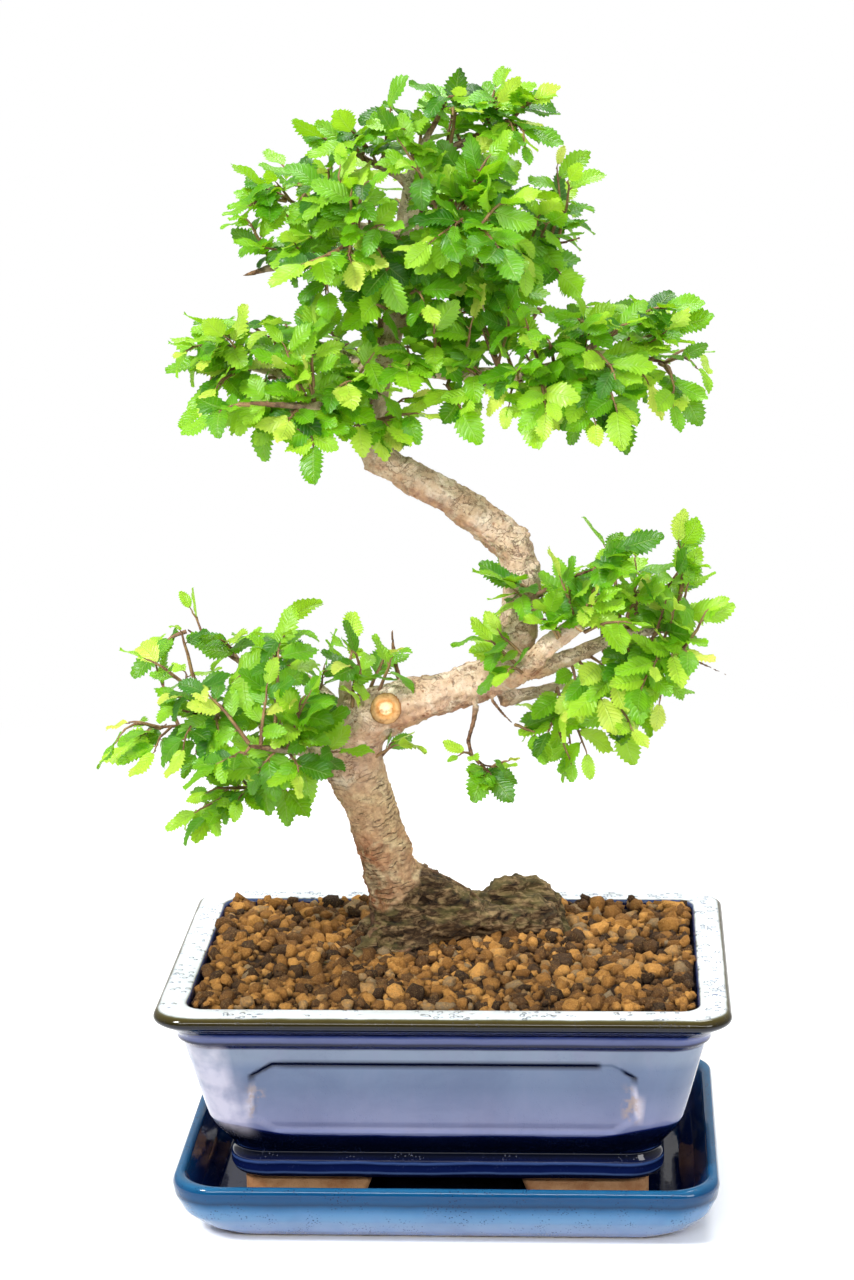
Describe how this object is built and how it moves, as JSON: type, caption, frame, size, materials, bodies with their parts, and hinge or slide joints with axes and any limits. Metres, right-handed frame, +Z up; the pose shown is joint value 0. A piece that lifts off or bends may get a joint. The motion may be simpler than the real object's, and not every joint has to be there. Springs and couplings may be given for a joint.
{
  "type": "potted bonsai tree",
  "caption": "Small-leaved bonsai tree with an S-shaped trunk, growing in granular soil in a glazed rectangular pot that stands on a matching drip tray.",
  "frame": {"origin": "centre of the drip tray's flat underside", "axes": "+Z up, X along the long side of the pot, -Y towards the front of the tree"},
  "size_m": [0.235, 0.155, 0.4226],
  "materials": {
    "tray_glaze": "glossy azure glaze that fades to lavender blue, over a thin unglazed foot line",
    "pot_glaze": "glossy lavender-blue glaze, navy where it pools and olive on the lip, with unglazed feet",
    "drain_plastic": "plain black plastic mesh",
    "soil": "loose baked-clay granules, ochre to brown",
    "bark": "grey-beige bark with fine cracks, lenticels and reddish flakes",
    "leaf": "fresh green serrated leaves with a soft sheen"
  },
  "bodies": {
    "root": {"crown_shoot_01": "leaf", "crown_shoot_02": "leaf", "crown_shoot_03": "leaf", "crown_shoot_04": "leaf", "crown_shoot_05": "leaf", "crown_shoot_06": "leaf", "crown_shoot_07": "leaf", "crown_shoot_08": "leaf", "crown_shoot_09": "leaf", "crown_shoot_10": "leaf", "crown_shoot_11": "leaf", "crown_shoot_12": "leaf", "crown_shoot_13": "leaf", "crown_shoot_14": "leaf", "crown_shoot_15": "leaf", "crown_shoot_16": "leaf", "crown_shoot_17": "leaf", "crown_shoot_18": "leaf", "crown_shoot_19": "leaf", "drain_mesh_left": "drain_plastic", "drain_mesh_right": "drain_plastic", "drip_tray": "tray_glaze", "hanging_shoot_01": "leaf", "low_left_shoot_01": "leaf", "low_left_shoot_02": "leaf", "low_left_shoot_03": "leaf", "low_left_shoot_04": "leaf", "low_left_shoot_05": "leaf", "low_left_shoot_06": "leaf", "low_left_shoot_07": "leaf", "low_left_shoot_08": "leaf", "low_left_shoot_09": "leaf", "low_right_shoot_01": "leaf", "low_right_shoot_02": "leaf", "low_right_shoot_03": "leaf", "low_right_shoot_04": "leaf", "low_right_shoot_05": "leaf", "low_right_shoot_06": "leaf", "low_right_shoot_07": "leaf", "low_right_shoot_08": "leaf", "middle_left_shoot_01": "leaf", "middle_left_shoot_02": "leaf", "middle_left_shoot_03": "leaf", "middle_left_shoot_04": "leaf", "middle_left_shoot_05": "leaf", "middle_left_shoot_06": "leaf", "middle_left_shoot_07": "leaf", "middle_left_shoot_08": "leaf", "middle_right_shoot_01": "leaf", "middle_right_shoot_02": "leaf", "middle_right_shoot_03": "leaf", "middle_right_shoot_04": "leaf", "middle_right_shoot_05": "leaf", "middle_right_shoot_06": "leaf", "middle_right_shoot_07": "leaf", "middle_right_shoot_08": "leaf", "middle_right_shoot_09": "leaf", "pot": "pot_glaze", "soil_bed": "soil", "trunk": "bark"}
  },
  "joints": []
}
